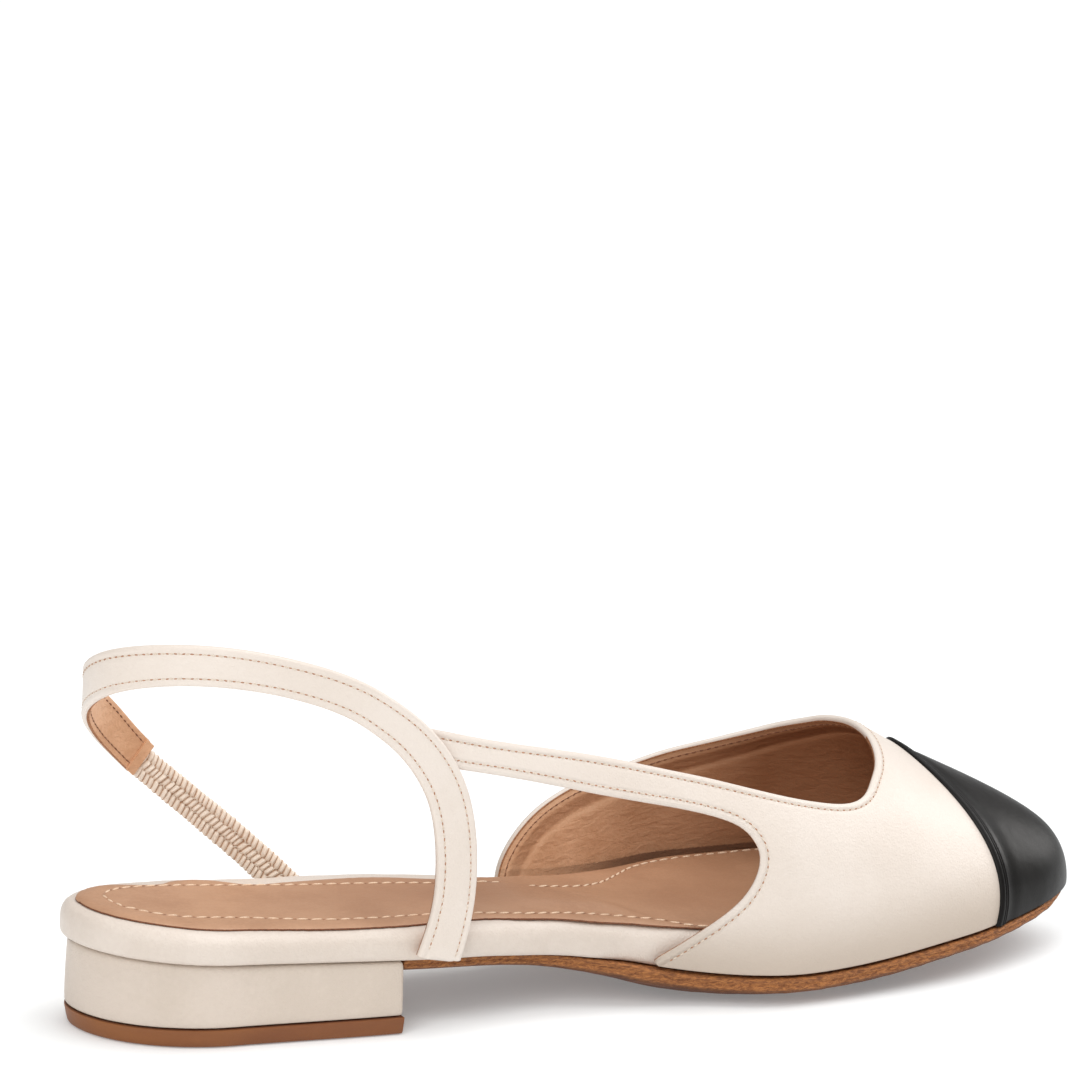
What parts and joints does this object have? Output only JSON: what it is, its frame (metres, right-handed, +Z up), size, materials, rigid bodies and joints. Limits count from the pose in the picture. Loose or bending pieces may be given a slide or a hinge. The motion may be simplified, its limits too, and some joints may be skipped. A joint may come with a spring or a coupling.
{
  "type": "sling back flat",
  "caption": "Right sling back flat with a covered block heel, low cut vamp, contrasting toe cap, an instep strap crossed by the heel strap, and a ruched elastic on the inner side.",
  "frame": {"origin": "on the floor, at the middle of the heel's lower face, 34 mm ahead of the back of the heel", "axes": "+X to the toe, +Z up, +Y to the inner side of this right shoe"},
  "size_m": [0.2512, 0.0763, 0.0914],
  "materials": {
    "cream_leather": "smooth, soft gloss",
    "black_leather": "smooth, glossy",
    "tan_lining": "smooth, matt",
    "tan_sole": "matt, leather look",
    "elastic_cloth": "ruched over elastic"
  },
  "bodies": {
    "root": {"top_piece": "tan_sole", "heel_block": "cream_leather", "outsole": "tan_sole", "footbed": "cream_leather", "sock": "tan_lining", "upper": "cream_leather", "toe_cap": "black_leather", "elastic": "elastic_cloth"}
  },
  "joints": []
}
